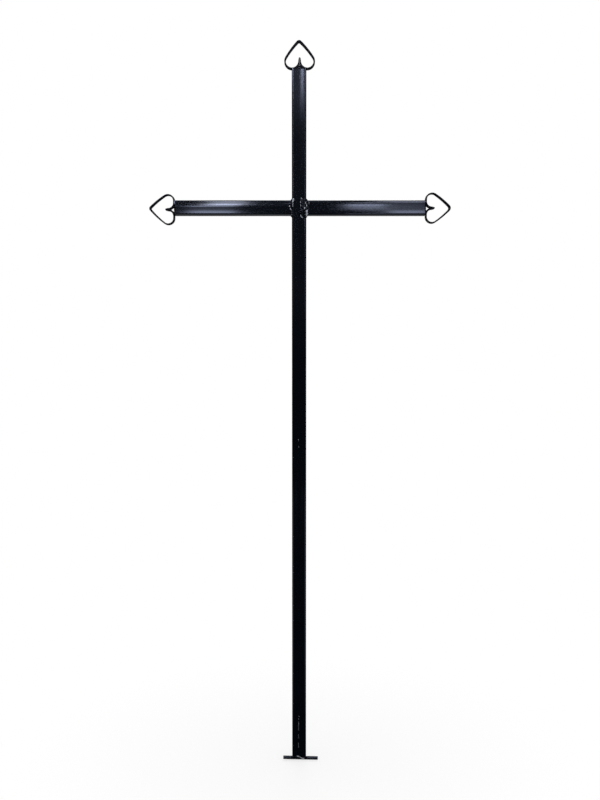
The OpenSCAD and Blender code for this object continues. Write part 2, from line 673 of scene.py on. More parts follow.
@dataclass
class StripHeart:
    """An open heart bent from one flat strip, its two ends pressed together as a cusp."""

    node: str
    facing: Facing
    lobe_r: float
    point_r: float
    lean: float
    cusp_len: float
    width: float = 84.0
    lobe_t: float = 4.0
    point_t: float = 5.0
    flank_r: float = 250.0
    cusp_half_w: float = 3.8
    tip_half_w: float = 2.6
    throat_r: float = 15.0
    throat_h: float = 11.0
    # The strip's two ends lie a hair apart, so the seam between them shows
    seam: float = 0.12
    tip_least: float = 0.25
    edge_r: float = 0.7
    hammer: float = 0.12
    hammer_patch: float = 6.0
    # Points along each stretch of the strip
    point_steps: int = 10
    flank_steps: int = 20
    lobe_steps: int = 30
    foot_steps: int = 5
    bend_steps: int = 16
    cusp_steps: int = 10
    tip_steps: int = 6
    seed: float = 0.0

    def shoulder(
        self, lobe: Point, point: Point, lobe_r: float, point_r: float, flank_r: float
    ) -> list[Point]:
        """Gives one side of the heart, from its point over the flank to the foot of its lobe.

        Args:
            lobe: Centre of the lobe.
            point: Centre of the heart's point.
            lobe_r: Radius of the lobe.
            point_r: Radius of the point.
            flank_r: Radius of the long arc between them.

        Returns:
            The points, the same number for the strip's outer and inner side.
        """
        centre = arc_centre(lobe, point, flank_r - lobe_r, flank_r - point_r)
        at_point, at_lobe = (
            math.degrees(math.atan2(target[1] - centre[1], target[0] - centre[0]))
            for target in (point, lobe)
        )
        made = arc(point, point_r, 90, at_point, self.point_steps)
        made += arc(centre, flank_r, at_point, at_lobe, self.flank_steps)[1:]
        made += arc(lobe, lobe_r, at_lobe, -90, self.lobe_steps)[1:]
        return made

    def half(self, sign: int, length: float) -> tuple[list[Point], list[Point]]:
        """Gives the outer and the inner side of half the strip.

        Args:
            sign: 1 for the half on the right, -1 for the one on the left.
            length: The heart's length.

        Returns:
            The outer points and the inner points, from the heart's point to the cusp's tip.
        """
        lobe = (self.width / 2 - self.lobe_r, self.lobe_r)
        point = (sign * self.lean, length - self.point_r)
        inner_r = self.lobe_r - self.lobe_t
        point_inner_r, flank_inner_r = self.point_r - self.point_t, self.flank_r - self.lobe_t
        outer = self.shoulder(lobe, point, self.lobe_r, self.point_r, self.flank_r)
        inner = self.shoulder(lobe, point, inner_r, point_inner_r, flank_inner_r)
        turn = (self.cusp_half_w + inner_r, self.lobe_r)
        throat = (self.throat_r, self.throat_r)
        rise = self.throat_r - self.throat_h
        throat_x = self.throat_r - math.sqrt(self.throat_r**2 - rise**2)
        throat_end = math.degrees(
            math.atan2(self.throat_h - self.throat_r, throat_x - self.throat_r)
        )
        outer += line(outer[-1], (self.throat_r, 0.0), self.foot_steps)[1:]
        inner += line(inner[-1], (turn[0], self.lobe_t), self.foot_steps)[1:]
        outer += arc(throat, self.throat_r, -90, throat_end, self.bend_steps)[1:]
        inner += arc(turn, inner_r, -90, -180, self.bend_steps)[1:]
        tip_y = self.cusp_len - self.tip_half_w
        cusp_from = (self.seam, self.throat_h + 2), (self.cusp_half_w, self.lobe_r + 0.5)
        outer += line(cusp_from[0], (self.seam, tip_y), self.cusp_steps)
        inner += line(cusp_from[1], (self.tip_half_w, tip_y), self.cusp_steps)
        for i in range(1, self.tip_steps + 1):
            t = math.radians(90 * i / self.tip_steps)
            # The seam ends a little short of the tip, so the strip keeps its thickness there
            outer.append((self.seam, tip_y + self.tip_half_w * math.sin(t) * 0.96))
            x = max(self.seam + self.tip_least, self.tip_half_w * math.cos(t))
            inner.append((x, tip_y + self.tip_half_w * math.sin(t)))
        return [(sign * x, y) for x, y in outer], [(sign * x, y) for x, y in inner]

    def rib(self, outer: Point, inner: Point, depth: float, at: int) -> list[Point]:
        """Gives the strip's cross-section at one place, with rounded edges.

        Args:
            outer: The place on the strip's outer side.
            inner: The place across it, on its inner side.
            depth: Depth of the strip.
            at: Number of the place, which sets the hammer marks.

        Returns:
            Share of the way from outer to inner and place in depth, for each corner.
        """
        thick = math.dist(outer, inner)
        r = min(self.edge_r, thick * 0.4)
        half = depth / 2
        made: list[Point] = []
        corners = [
            (r, -half + r, 180),
            (thick - r, -half + r, 270),
            (thick - r, half - r, 0),
            (r, half - r, 90),
        ]
        for n, (cx, cy, first) in enumerate(corners):
            for i in range(4):
                t = math.radians(first + 90 * i / 3)
                made.append(((cx + r * math.cos(t)) / thick, cy + r * math.sin(t)))
            if n in (1, 3):
                # Hammer marks, as shallow hollows down the wide faces
                level = 1.0 if n == 1 else 0.0
                for share in (0.25, 0.5, 0.75):
                    y = blend(-half + r, half - r, share if n == 1 else 1 - share)
                    spot = (at * 0.23 + self.seed, y / self.hammer_patch, n * 5.0 + self.seed)
                    mark = noise.noise(Vector(spot))
                    dent = self.hammer * (0.5 + 0.5 * mark) / thick
                    made.append((level - dent if n == 1 else level + dent, y))
        return made

    def build(self, paints: Paints) -> Object:
        """Builds and paints the heart.

        Args:
            paints: The coats.

        Returns:
            The finished piece.
        """
        lo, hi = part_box(self.node)
        size = hi - lo
        depth = size.y * 1000
        if self.facing is Facing.UP:
            foot = Vector(((lo.x + hi.x) / 2, 0, lo.z))
            length = size.z * 1000
        else:
            foot_x = hi.x if self.facing is Facing.LEFT else lo.x
            foot = Vector((foot_x, 0, (lo.z + hi.z) / 2))
            length = size.x * 1000
        turn = Matrix.Rotation(-self.facing.value * math.pi / 2, 3, "Y")
        right_outer, right_inner = self.half(1, length)
        left_outer, left_inner = self.half(-1, length)
        outer = right_outer[::-1] + left_outer[1:]
        inner = right_inner[::-1] + left_inner[1:]
        points: list[Vector] = []
        for at, (o, i) in enumerate(zip(outer, inner)):
            for share, deep in self.rib(o, i, depth, at):
                x, z = blend(o[0], i[0], share), blend(o[1], i[1], share)
                points.append(foot + turn @ Vector((x, deep, z)) / 1000)
        faces = closed_band(len(outer), len(points) // len(outer))
        piece = piece_from(f"{self.node}_strip", points, faces)
        shade_round(piece, 50)
        return dress(piece, paints.heart, "heart_paint", self.node)


# What repeats along a line: the drops of a weld and the ribs of a bar


class Row:
    """A geometry tree that repeats a small shape along a straight line, as a plain mesh."""

    def __init__(self) -> None:
        """Builds the tree once: a line of points, a shape on each, made real."""
        tree = bpy.data.node_groups.new("row_of_shapes", "GeometryNodeTree")
        vector, whole = "NodeSocketVector", "NodeSocketInt"
        kinds = {
            "Start": vector,
            "End": vector,
            "Count": whole,
            "Outward": vector,
            "Shape": "NodeSocketObject",
            "Least size": vector,
            "Most size": vector,
            "Wander": "NodeSocketFloat",
            "Seed": whole,
            "Paint": "NodeSocketMaterial",
        }
        self.tree = tree
        self.sockets = {
            name: tree.interface.new_socket(name, in_out="INPUT", socket_type=kind)
            for name, kind in kinds.items()
        }
        tree.interface.new_socket("Geometry", in_out="OUTPUT", socket_type="NodeSocketGeometry")
        given = add_node(tree, "NodeGroupInput").outputs
        points = add_node(
            tree,
            "GeometryNodeMeshLine",
            {"mode": "END_POINTS"},
            count=given["Count"],
            start_location=given["Start"],
            in_3=given["End"],
        )
        size = self.random_between(given["Least size"], given["Most size"], given["Seed"])
        low, high = (
            add_node(
                tree,
                "ShaderNodeVectorMath",
                {"operation": "SCALE"},
                in_0=(way, way, way),
                scale=given["Wander"],
            ).outputs[0]
            for way in (-1.0, 1.0)
        )
        moved = add_node(
            tree,
            "GeometryNodeSetPosition",
            geometry=points.outputs["Mesh"],
            offset=self.random_between(low, high, given["Seed"]),
        )
        facing = add_node(
            tree, "FunctionNodeAlignRotationToVector", {"axis": "Z"}, vector=given["Outward"]
        )
        shape = add_node(
            tree, "GeometryNodeObjectInfo", {"transform_space": "ORIGINAL"}, object=given["Shape"]
        )
        drops = add_node(
            tree,
            "GeometryNodeInstanceOnPoints",
            points=moved.outputs["Geometry"],
            instance=shape.outputs["Geometry"],
            rotation=facing.outputs[0],
            scale=size,
        )
        real = add_node(tree, "GeometryNodeRealizeInstances", geometry=drops.outputs[0])
        painted = add_node(
            tree, "GeometryNodeSetMaterial", geometry=real.outputs[0], material=given["Paint"]
        )
        add_node(tree, "NodeGroupOutput", geometry=painted.outputs[0])

    def random_between(self, least: NodeSocket, most: NodeSocket, seed: NodeSocket) -> NodeSocket:
        """Draws a vector between two others for each point."""
        kind, settings = "FunctionNodeRandomValue", {"data_type": "FLOAT_VECTOR"}
        return add_node(self.tree, kind, settings, in_0=least, in_1=most, seed=seed).outputs[0]

    def lay(self, **values: object) -> Mesh:
        """Lays one row.

        Args:
            **values: A value for each input, by the key that socket_key() gives.

        Returns:
            The row as a plain mesh.
        """
        holder = bpy.data.objects.new("row", bpy.data.meshes.new("row"))
        bpy.context.scene.collection.objects.link(holder)
        modifier = holder.modifiers.new("row", "NODES")
        modifier.node_group = self.tree
        for name, socket in self.sockets.items():
            modifier[socket.identifier] = values[socket_key(name)]
        graph = bpy.context.evaluated_depsgraph_get()
        mesh = bpy.data.meshes.new_from_object(holder.evaluated_get(graph))
        bpy.data.objects.remove(holder)
        return mesh


def unit_ball() -> Object:
    """Makes the round shape that weld drops are made of, out of the picture.

    Returns:
        The object, 1 m in radius.
    """
    mesh = bpy.data.meshes.new("drop")
    work = bmesh.new()
    bmesh.ops.create_icosphere(work, subdivisions=3, radius=1.0)
    work.to_mesh(mesh)
    work.free()
    return bpy.data.objects.new("drop", mesh)


def unit_ring(tube_share: float, around: int = 40, across: int = 8) -> Object:
    """Makes the ring that the bar's ribs are made of, out of the picture.

    Args:
        tube_share: Thickness of the ring as a share of its radius.
        around: Points round the ring.
        across: Points round its thickness.

    Returns:
        The object, 1 m in radius, its axis along Z.
    """
    points = []
    for i in range(around):
        turn = 2 * math.pi * i / around
        for j in range(across):
            lift = 2 * math.pi * j / across
            r = 1 - tube_share + tube_share * math.cos(lift)
            points.append((r * math.cos(turn), r * math.sin(turn), tube_share * math.sin(lift)))
    total = around * across
    faces = [
        [a, b, (b + across) % total, (a + across) % total] for a, b, *_ in band(around + 1, across)
    ]
    faces = [[a, d, c, b] for a, b, c, d in faces]
    mesh = bpy.data.meshes.new("ring")
    mesh.from_pydata(points, [], faces)
    return bpy.data.objects.new("ring", mesh)


def fuse(name: str, meshes: list[Mesh], grain: float, rounds: int) -> Object:
    """Melts overlapping closed meshes into one skin.

    Args:
        name: Name of the result.
        meshes: The meshes, in the row frame.
        grain: Size of the cells that the skin is made from, in millimetres.
        rounds: How many times the skin is smoothed.

    Returns:
        One closed object.
    """
    work = bmesh.new()
    for mesh in meshes:
        work.from_mesh(mesh)
    joined = bpy.data.meshes.new(name)
    work.to_mesh(joined)
    work.free()
    rough = bpy.data.objects.new(name + "_rough", joined)
    bpy.context.scene.collection.objects.link(rough)
    melt = rough.modifiers.new("melt", "REMESH")
    melt.mode = "VOXEL"
    melt.voxel_size = metres(grain)
    ease = rough.modifiers.new("ease", "SMOOTH")
    ease.iterations = rounds
    ease.factor = 0.5
    graph = bpy.context.evaluated_depsgraph_get()
    mesh = bpy.data.meshes.new_from_object(rough.evaluated_get(graph))
    mesh.name = name
    bpy.data.objects.remove(rough)
    made = bpy.data.objects.new(name, mesh)
    bpy.context.scene.collection.objects.link(made)
    mesh.shade_smooth()
    return made


@dataclass(frozen=True)
class Bead:
    """One run of weld metal, as overlapping drops along a straight seam."""

    start: Triple
    end: Triple
    outward: Triple
    breadth: float
    height: float
    pitch: float = 3.0
    uneven: float = 0.25
    wander: float = 0.5


@dataclass
class Welder:
    """Lays beads with one geometry tree, each with its own fixed seed."""

    row: Row = field(default_factory=Row)
    drop: Object = field(default_factory=unit_ball)
    laid: int = 0

    def mesh(self, bead: Bead, paint: Material) -> Mesh:
        """Lays one bead.

        Args:
            bead: The run of weld metal.
            paint: Its coat.

        Returns:
            The bead's drops as a mesh.
        """
        self.laid += 1
        start, end = Vector(bead.start) / 1000, Vector(bead.end) / 1000
        full = Vector((bead.breadth / 2, bead.breadth / 2, bead.height)) / 1000
        return self.row.lay(
            start=start,
            end=end,
            count=max(1, round((end - start).length / metres(bead.pitch)) + 1),
            outward=Vector(bead.outward),
            shape=self.drop,
            least_size=full * (1 - bead.uneven),
            most_size=full,
            wander=metres(bead.wander),
            seed=self.laid,
            paint=paint,
        )


Numbers = tuple[float, ...]

# Runs on the front of each arm's joint: x and height over the arm's middle at both ends, then
# breadth, height, pitch, unevenness and wander
LEFT_RUNS: tuple[Numbers, ...] = (
    # One long slanting lump over smaller drops
    (-17.0, 23.0, -19.0, 4.0, 8.0, 2.6, 1.8, 0.06, 0.2),
    (-24.5, 12.0, -26.0, 2.0, 5.5, 1.7, 1.8, 0.2, 0.5),
    (-23.5, 0.0, -21.5, -6.0, 5.5, 2.0, 1.8, 0.15, 0.3),
    (-21.0, -9.0, -19.5, -20.0, 6.5, 1.5, 2.0, 0.2, 0.6),
)
RIGHT_RUNS: tuple[Numbers, ...] = (
    # A broad pad of pooled metal, and its wavy rim
    (12.0, 22.0, 12.0, -20.0, 15.0, 1.0, 3.0, 0.2, 0.8),
    (5.5, 27.0, 4.0, 4.0, 5.5, 1.9, 1.9, 0.25, 0.6),
    (4.5, -2.0, 3.0, -20.0, 5.5, 1.9, 1.9, 0.25, 0.6),
    (3.5, -21.0, 11.0, -29.0, 5.0, 1.6, 1.8, 0.15, 0.3),
    (18.0, 21.0, 21.0, 5.0, 8.0, 2.6, 2.0, 0.08, 0.3),
    (13.5, 3.0, 13.0, -3.0, 5.5, 2.3, 2.0, 0.1, 0.2),
    (19.0, -2.0, 17.5, -24.0, 10.0, 2.6, 2.5, 0.08, 0.4),
    (25.5, 17.0, 24.5, -17.0, 5.0, 1.2, 2.2, 0.25, 0.6),
)
# Painted highlights, as pale lumps: x and height over the arm's middle at both ends, and breadth
LEFT_HIGHLIGHT_LUMPS: tuple[Numbers, ...] = (
    (-15.8, 22.5, -18.0, 13.5, 5.6),
    (-17.6, 10.5, -17.2, 3.0, 2.8),
    (-26.4, 4.6, -26.4, 2.4, 3.0),
    (-24.0, -2.6, -23.4, -4.2, 3.0),
    (-21.4, -6.2, -21.2, -6.6, 2.2),
)
RIGHT_HIGHLIGHT_LUMPS: tuple[Numbers, ...] = (
    (6.7, 25.0, 7.6, 23.0, 2.8),
    (3.9, 16.5, 3.9, 12.0, 1.9),
    (4.2, 7.0, 4.4, 4.0, 2.2),
    (17.6, 15.0, 18.6, 9.5, 2.4),
    (20.2, 8.0, 21.0, 4.2, 4.2),
    (15.0, -0.4, 14.8, -3.4, 3.8),
    (27.2, 15.0, 27.4, 11.5, 2.0),
    (20.6, -8.5, 19.2, -22.0, 7.4),
    (3.6, -20.5, 8.6, -28.0, 1.9),
)


@dataclass
class ArmWeld:
    """Weld round the joint of an arm and the post, with a lumpy front and pale lumps as painted
    highlights.
    """

    node: str
    side: int
    runs: tuple[Numbers, ...]
    scuffs: tuple[Numbers, ...]
    tube: float = 40.0
    # How far the corner fillets lie off the tubes' corner, and how far short of its ends they stop
    fillet_out: float = 0.5
    fillet_up: float = 0.2
    fillet_short: float = 2.0
    fillet: Numbers = (7.5, 2.6, 2.6, 0.25, 0.3)
    back_sunk: float = 0.4
    back_short: float = 1.0
    back: Numbers = (9.0, 2.2, 2.8)
    run_y: float = -19.5
    scuff_y: float = -20.3
    highlight_lump_height: float = 2.0
    highlight_lump_overlap: float = 0.35
    highlight_lump_uneven: float = 0.12
    scuff_wander: float = 0.1

    def beads(self, mid: float) -> list[Bead]:
        """Gives the runs of the joint: top, bottom, back and front.

        Args:
            mid: Height of the arm's middle.

        Returns:
            Its runs.
        """
        half, s = self.tube / 2, self.side
        x, top, low = s * half, mid + half, mid - half
        made = []
        # Fillets in the corners over and under the arm, and the seam down the back
        for z, up in ((top, 1), (low, -1)):
            off, lift = x + s * self.fillet_out, z + up * self.fillet_up
            ends = (off, -half + self.fillet_short, lift), (off, half - self.fillet_short, lift)
            made.append(Bead(*ends, (s * 1.0, 0.0, up * 1.0), *self.fillet))
        deep = half - self.back_sunk
        ends = (x, deep, low + self.back_short), (x, deep, top - self.back_short)
        made.append(Bead(*ends, (0.0, 1.0, 0.0), *self.back))
        y, out = self.run_y, (0.0, -1.0, 0.0)
        for x, z, end_x, end_z, *rest in self.runs:
            made.append(Bead((x, y, mid + z), (end_x, y, mid + end_z), out, *rest))
        return made

    def pale_beads(self, mid: float) -> list[Bead]:
        """Gives the lumps on the front whose pale paint is painted highlight.

        Args:
            mid: Height of the arm's middle.

        Returns:
            The lumps, as runs.
        """
        y, out = self.scuff_y, (0.0, -1.0, 0.0)
        return [
            Bead(
                (x, y, mid + z),
                (end_x, y, mid + end_z),
                out,
                breadth,
                self.highlight_lump_height,
                breadth * self.highlight_lump_overlap,
                self.highlight_lump_uneven,
                self.scuff_wander,
            )
            for x, z, end_x, end_z, breadth in self.scuffs
        ]

    def build(self, welder: Welder, paints: Paints) -> Object:
        """Builds and paints the weld and its pale lumps of painted highlight.

        Args:
            welder: What lays the beads.
            paints: The coats.

        Returns:
            The finished weld.
        """
        lo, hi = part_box(self.node)
        mid = (lo.z + hi.z) * 500
        rows = [welder.mesh(b, paints.weld) for b in self.beads(mid)]
        # Pale lumps laid over the weld: painted highlights
        pale = [welder.mesh(b, paints.scuff) for b in self.pale_beads(mid)]
        scuffs = fuse(f"{self.node}_scuffs", pale, grain=0.35, rounds=1)
        dress(scuffs, paints.scuff, "weld_paint")
        piece = fuse(f"{self.node}_beads", rows, grain=0.55, rounds=2)
        return dress(piece, paints.weld, "weld_paint", self.node)


@dataclass
class HeartSeats:
    """Small fillets where each heart's strip is welded to its cap."""

    hearts: tuple[tuple[str, Facing], ...] = (
        ("top_heart", Facing.UP),
        ("left_heart", Facing.LEFT),
        ("right_heart", Facing.RIGHT),
    )
    reach: float = 15.0
    fillet_sunk: float = 0.2
    fillet: Numbers = (4.2, 1.8, 2.6, 0.3, 0.3)
    notch_rise: float = 2.5
    notch_inset: float = 3.0
    notch: Numbers = (12.0, 6.2, 3.0, 0.08, 0.2)

    def beads(self, name: str, facing: Facing) -> list[Bead]:
        """Gives the runs of one heart.

        Args:
            name: The heart's node.
            facing: The way its point looks.

        Returns:
            A fillet in front and behind, and under the top heart the metal that fills the notch
            between its lobes.
        """
        lo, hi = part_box(name)
        made = []
        for y in (-1, 1):
            deep = (hi.y * 1000 - self.fillet_sunk) * y
            if facing is Facing.UP:
                mid, foot = (lo.x + hi.x) * 500, lo.z * 1000
                ends = (mid - self.reach, deep, foot), (mid + self.reach, deep, foot)
                out = (0.0, 1.0 * y, 1.0)
            else:
                mid = (lo.z + hi.z) * 500
                foot = (hi.x if facing is Facing.LEFT else lo.x) * 1000
                ends = (foot, deep, mid - self.reach), (foot, deep, mid + self.reach)
                out = (-1.0 if facing is Facing.LEFT else 1.0, 1.0 * y, 0.0)
            made.append(Bead(*ends, out, *self.fillet))
        if facing is Facing.UP:
            deep, z = hi.y * 1000 - self.notch_inset, foot + self.notch_rise
            made.append(Bead((mid, -deep, z), (mid, deep, z), (0.0, 0.0, 1.0), *self.notch))
        return made

    def build(self, welder: Welder, paints: Paints) -> list[Object]:
        """Builds and paints the fillets of all three hearts.

        Args:
            welder: What lays the beads.
            paints: The coats.

        Returns:
            One piece for each heart.
        """
        made = []
        for name, facing in self.hearts:
            rows = [welder.mesh(b, paints.weld) for b in self.beads(name, facing)]
            piece = fuse(f"{name}_seat_weld", rows, grain=0.45, rounds=2)
            made.append(dress(piece, paints.weld, "weld_paint"))
        return made


@dataclass
class FootRod:
    """Short bar across the foot, hot rolled with low ribs, its ends sheared off."""

    node: str = "foot_rod"
    diameter: float = 10.5
    tilt_deg: float = 1.3
    rib_pitch: float = 6.5
    rib_margin: float = 2.5
    rib_share: float = 0.09
    rib_least: float = 0.985
    rib_most: float = 0.995
    rib_slant: float = 0.25
    core_share: float = 0.93
    end_share: float = 0.9
    end_round: float = 0.8
    rings: int = 60
    around: int = 40

    def build(self, row: Row, paints: Paints) -> Object:
        """Builds and paints the bar.

        Args:
            row: The geometry tree that lays the ribs.
            paints: The coats.

        Returns:
            The finished piece.
        """
        lo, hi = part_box(self.node)
        middle = (lo + hi) / 2
        tilt = math.radians(self.tilt_deg)
        way = Vector((math.cos(tilt), 0, -math.sin(tilt)))
        up, side = Vector((-way.z, 0, way.x)), Vector((0, 1, 0))
        r = metres(self.diameter / 2)
        half = ((hi.x - lo.x) - 2 * r * abs(way.z)) / 2 / way.x
        points: list[Vector] = []
        for i in range(self.rings + 1):
            s = blend(-half, half, i / self.rings)
            end = min(1.0, (half - abs(s)) / metres(self.end_round))
            ring_r = r * self.core_share * blend(self.end_share, 1.0, smooth(end))
            for j in range(self.around):
                t = 2 * math.pi * j / self.around
                spoke = (up * math.sin(t) + side * math.cos(t)) * ring_r
                points.append(middle + way * s + spoke)
        core = piece_from("rod_core", points, closed_band(self.rings + 1, self.around))
        ribs = row.lay(
            start=middle - way * (half - metres(self.rib_margin)),
            end=middle + way * (half - metres(self.rib_margin)),
            count=int(2 * half / metres(self.rib_pitch)),
            outward=way + up * self.rib_slant,
            shape=unit_ring(self.rib_share),
            least_size=Vector((r, r, r)) * self.rib_least,
            most_size=Vector((r, r, r)) * self.rib_most,
            wander=0.0,
            seed=5,
            paint=paints.bar,
        )
        piece = fuse(f"{self.node}_bar", [core.data, ribs], grain=0.45, rounds=1)
        bpy.data.objects.remove(core)
        return dress(piece, paints.bar, "heart_paint", self.node)


@dataclass
class FootWeld:
    """Bead between the post's lower edge and the bar, with a pale crest as painted highlight."""

    node: str = "foot_weld"
    inset: float = 2.5
    sunk: float = 2.8
    # Heights of both ends over the bead's middle, and for the crest x and height of each end
    seam_heights: Point = (1.0, -0.5)
    seam: Numbers = (5.5, 2.3, 1.8, 0.15, 0.3)
    crest_ends: tuple[Point, Point] = ((-5.5, 3.4), (12.5, -4.2))
    crest: Numbers = (4.6, 2.5, 1.6, 0.2, 0.2)

    def build(self, welder: Welder, paints: Paints) -> Object:
        """Builds and paints the bead and its ridge.

        Args:
            welder: What lays the drops.
            Builds and paints the bead and its crest of painted highlight.

        Returns:
            The finished bead.
        """
        lo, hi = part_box(self.node)
        z = (lo.z + hi.z) * 500
        left, right = lo.x * 1000 + self.inset, hi.x * 1000 - self.inset
        y = lo.y * 1000 + self.sunk
        ends = [(x, y, z + h) for x, h in zip((left, right), self.seam_heights)]
        seam = Bead(*ends, (0.0, -0.7, 0.4), *self.seam)
        low_drops = welder.mesh(seam, paints.weld)
        piece = fuse(f"{self.node}_bead", [low_drops], grain=0.45, rounds=2)
        ends = [(x, y, z + h) for x, h in self.crest_ends]
        # Pale paint on the crest: a painted highlight along the bead
        crest = Bead(*ends, (0.0, -1.0, 0.5), *self.crest)
        high_drops = welder.mesh(crest, paints.ridge)
        ridge = fuse(f"{self.node}_ridge", [high_drops], grain=0.4, rounds=2)
        dress(ridge, paints.ridge, "weld_paint")
        return dress(piece, paints.weld, "weld_paint", self.node)


@dataclass
class PaintRuns:
    """Nibs and short runs in the paint down the post's front, pale as painted highlights.

    Each run has its upper end, its lower end and its breadth. Heights are over the row's base.
    """

    node: str = "post"
    line_x: float = -1.7
    sunk: float = 0.3
    proud: float = 0.9
    overlap: float = 0.8
    uneven: float = 0.45
    wander: float = 0.3
    runs: tuple[Triple, ...] = (
        (936.0, 932.5, 3.2),
        (918.0, 914.5, 3.2),
        (134.0, 133.0, 2.4),
        (127.0, 124.5, 3.4),
        (117.0, 92.0, 3.8),
        (79.0, 68.5, 3.0),
        (53.0, 40.5, 3.4),
    )

    def build(self, welder: Welder, paints: Paints) -> Object:
        """Builds and paints the runs as one piece.

        Args:
            welder: What lays the drops.
            paints: The coats.

        Returns:
            The finished piece.
        """
        lo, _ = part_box(self.node)
        x, y = self.line_x, lo.y * 1000 + self.sunk
        rows = []
        for top, low, breadth in self.runs:
            shape = breadth, self.proud, breadth * self.overlap, self.uneven, self.wander
            bead = Bead((x, y, top), (x, y, low), (0.0, -1.0, 0.0), *shape)
            # Pale paint on each run: a painted highlight
            rows.append(welder.mesh(bead, paints.drip))
        piece = fuse("post_paint_runs", rows, grain=0.25, rounds=1)
        return dress(piece, paints.drip, "tube_paint")


# Studio


@dataclass(frozen=True)
class SoftBox:
    """A flat soft lamp. Metres, and its glow as radiance."""

    name: str
    place: Triple
    aim: Triple
    width: float
    height: float
    glow: float

    def build(self) -> Object:
        """Builds the lamp.

        Returns:
            The lamp, linked to the scene.
        """
        data = bpy.data.lights.new(self.name, "AREA")
        data.shape = "RECTANGLE"
        data.size, data.size_y = self.width, self.height
        data.energy = self.glow * math.pi * self.width * self.height
        lamp = bpy.data.objects.new(self.name, data)
        lamp.location = self.place
        way = Vector(self.aim) - Vector(self.place)
        lamp.rotation_euler = way.to_track_quat("-Z", "Y").to_euler()
        bpy.context.scene.collection.objects.link(lamp)
        return lamp


@dataclass(frozen=True)
class Card:
    """Card that stands round the object for its gloss alone: black, or lit as a reflector.

    A photographer shoots gloss black paint in a dark tent, with a few lit cards that draw its
    streaks. Radiance goes from low to high between two heights, in metres.
    """

    name: str
    corners: tuple[Triple, ...]
    low: float = 0.004
    high: float = 0.004
    rise: Point = (0.0, 1.0)

    @staticmethod
    def flat(name: str, edges: tuple[float, ...], z: float, glow: float = 0.004) -> "Card":
        """Gives a card that lies flat.

        Args:
            name: The card's name.
            edges: Its least and greatest x, and its least and greatest y.
            z: Its height.
            glow: Its radiance.

        Returns:
            The card.
        """
        x, far_x, y, far_y = edges
        corners = (x, y, z), (far_x, y, z), (far_x, far_y, z), (x, far_y, z)
        return Card(name, corners, glow, glow)

    @staticmethod
    def upright(name: str, start: Point, end: Point, z: Point, *glow: object) -> "Card":
        """Gives a card that stands on one of its edges.

        Args:
            name: The card's name.
            start: x and y of one side.
            end: x and y of the other side.
            z: Its lower and upper edge.
            *glow: low, high and rise. Where only low is given, high is the same.

        Returns:
            The card.
        """
        corners = (*start, z[0]), (*end, z[0]), (*end, z[1]), (*start, z[1])
        return Card(name, corners, *(glow * 2 if len(glow) == 1 else glow))

    def build(self) -> Object:
        """Builds the card, out of the camera's sight and casting no shadow.

        Returns:
            The card, staged.
        """
        card = piece_from(self.name, [Vector(c) for c in self.corners], [[0, 1, 2, 3]])
        made, tree = new_material(self.name)
        place = add_node(tree, "ShaderNodeTexCoord").outputs["Object"]
        height = add_node(tree, "ShaderNodeSeparateXYZ", vector=place).outputs["Z"]
        level = ramp(tree, height, self.rise, (self.low, self.high), "SMOOTHSTEP")
        glow = add_node(tree, "ShaderNodeEmission", color=srgb("#f4f7ff"), strength=level)
        add_node(tree, "ShaderNodeOutputMaterial", surface=glow.outputs[0])
        card.data.materials.append(made)
        card.visible_camera = False
        card.visible_diffuse = False
        card.visible_shadow = False
        card.visible_transmission = False
        return card


